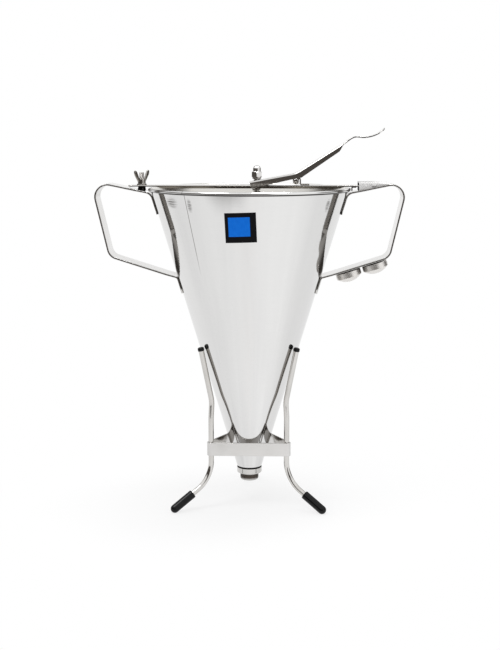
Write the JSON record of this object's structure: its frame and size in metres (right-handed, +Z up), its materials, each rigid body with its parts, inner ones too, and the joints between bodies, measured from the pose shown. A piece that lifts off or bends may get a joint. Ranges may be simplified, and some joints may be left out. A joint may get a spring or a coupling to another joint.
{
  "type": "batter dispensing funnel on a stand",
  "caption": "Conical steel bowl with strap handles, held in a wire stand; a thumb lever lifts a spring-loaded rod off the screwed-on outlet nozzle.",
  "frame": {"origin": "on the table at the middle of the stand, below the cone's axis", "axes": "+Z up along the cone's axis; +X towards the lever's thumb tongue and the right handle; -Y to the front, where the label is"},
  "size_m": [0.3116, 0.2048, 0.3891],
  "materials": {
    "steel_sheet": "polished stainless sheet",
    "turned_steel": "turned and polished stainless",
    "spring_wire": "drawn wire",
    "bush_plastic": "natural acetal",
    "black_rubber": "satin",
    "label_film": "printed film"
  },
  "bodies": {
    "stand": {"stand_band": "steel_sheet", "leg_front_left": "steel_sheet", "leg_front_right": "steel_sheet", "leg_back": "steel_sheet", "foot_front_left": "black_rubber", "foot_front_right": "black_rubber", "foot_back": "black_rubber", "leg_cap_front_left": "black_rubber", "leg_cap_front_right": "black_rubber", "leg_cap_back": "black_rubber"},
    "funnel": {"funnel_cone": "steel_sheet", "outlet_ferrule": "turned_steel", "left_handle": "steel_sheet", "right_handle": "steel_sheet", "bar_socket": "steel_sheet", "spare_stubs": "turned_steel", "label": "label_film", "clamp_stud": "turned_steel", "clamp_spacer": "black_rubber", "crossbar": "steel_sheet", "guide_bush": "bush_plastic", "pivot_bracket": "steel_sheet", "pivot_pin": "turned_steel", "return_spring": "spring_wire"},
    "lever": {"lever": "steel_sheet"},
    "rod": {"piston_rod": "turned_steel", "valve_tip": "turned_steel", "spring_collar": "turned_steel", "collar_pin": "turned_steel", "nut_spacer": "turned_steel", "cap_nut": "turned_steel"},
    "clamp_washer": {"clamp_washer": "turned_steel"},
    "wing_nut": {"wing_nut": "turned_steel"},
    "nozzle_seal": {"nozzle_seal": "black_rubber"},
    "nozzle": {"nozzle": "turned_steel"},
    "spare_seal_inner": {"spare_seal_inner": "black_rubber"},
    "spare_nozzle_inner": {"spare_nozzle_inner": "turned_steel"},
    "spare_seal_outer": {"spare_seal_outer": "black_rubber"},
    "spare_nozzle_outer": {"spare_nozzle_outer": "turned_steel"}
  },
  "joints": [
    {"name": "funnel_lift", "type": "slide", "parent": "stand", "child": "funnel", "axis": [0, 0, 1], "range_m": [0, 0.17]},
    {"name": "lever_press", "type": "hinge", "parent": "funnel", "child": "lever", "pos_m": [0.0469, 0, 0.33592], "axis": [0, 1, 0], "range_deg": [0, 12], "stiffness_Nm_per_rad": 3.5, "springref_deg": -5.73},
    {"name": "rod_lift", "type": "slide", "parent": "funnel", "child": "rod", "axis": [0.0242, 0, 0.9997], "range_m": [0, 0.0078], "deforming": ["return_spring"]},
    {"name": "washer_travel", "type": "slide", "parent": "funnel", "child": "clamp_washer", "axis": [0, 0, 1], "range_m": [0, 0.0116]},
    {"name": "wing_nut_turn", "type": "hinge", "parent": "clamp_washer", "child": "wing_nut", "pos_m": [-0.1092, 0, 0.33182], "axis": [0, 0, 1], "range_deg": [0, 5221]},
    {"name": "nozzle_travel", "type": "slide", "parent": "funnel", "child": "nozzle_seal", "axis": [0, 0, -1], "range_m": [0, 0.0075]},
    {"name": "nozzle_unscrew", "type": "hinge", "parent": "nozzle_seal", "child": "nozzle", "pos_m": [0, 0, 0.0387], "axis": [0, 0, -1], "range_deg": [0, 1801]},
    {"name": "spare_inner_travel", "type": "slide", "parent": "funnel", "child": "spare_seal_inner", "axis": [0.3025, 0, -0.9531], "range_m": [0, 0.0075]},
    {"name": "spare_inner_unscrew", "type": "hinge", "parent": "spare_seal_inner", "child": "spare_nozzle_inner", "pos_m": [0.10008, 0, 0.24593], "axis": [0.3025, 0, -0.9531], "range_deg": [0, 1801]},
    {"name": "spare_outer_travel", "type": "slide", "parent": "funnel", "child": "spare_seal_outer", "axis": [0.3025, 0, -0.9531], "range_m": [0, 0.0075]},
    {"name": "spare_outer_unscrew", "type": "hinge", "parent": "spare_seal_outer", "child": "spare_nozzle_outer", "pos_m": [0.12677, 0, 0.2544], "axis": [0.3025, 0, -0.9531], "range_deg": [0, 1801]}
  ],
  "couplings": [
    {"joint": "rod_lift", "follows": "lever_press", "m_per_rad": 0.0355},
    {"joint": "wing_nut_turn", "follows": "washer_travel", "rad_per_m": 7854},
    {"joint": "nozzle_unscrew", "follows": "nozzle_travel", "rad_per_m": 4188.8},
    {"joint": "spare_inner_unscrew", "follows": "spare_inner_travel", "rad_per_m": 4188.8},
    {"joint": "spare_outer_unscrew", "follows": "spare_outer_travel", "rad_per_m": 4188.8}
  ]
}
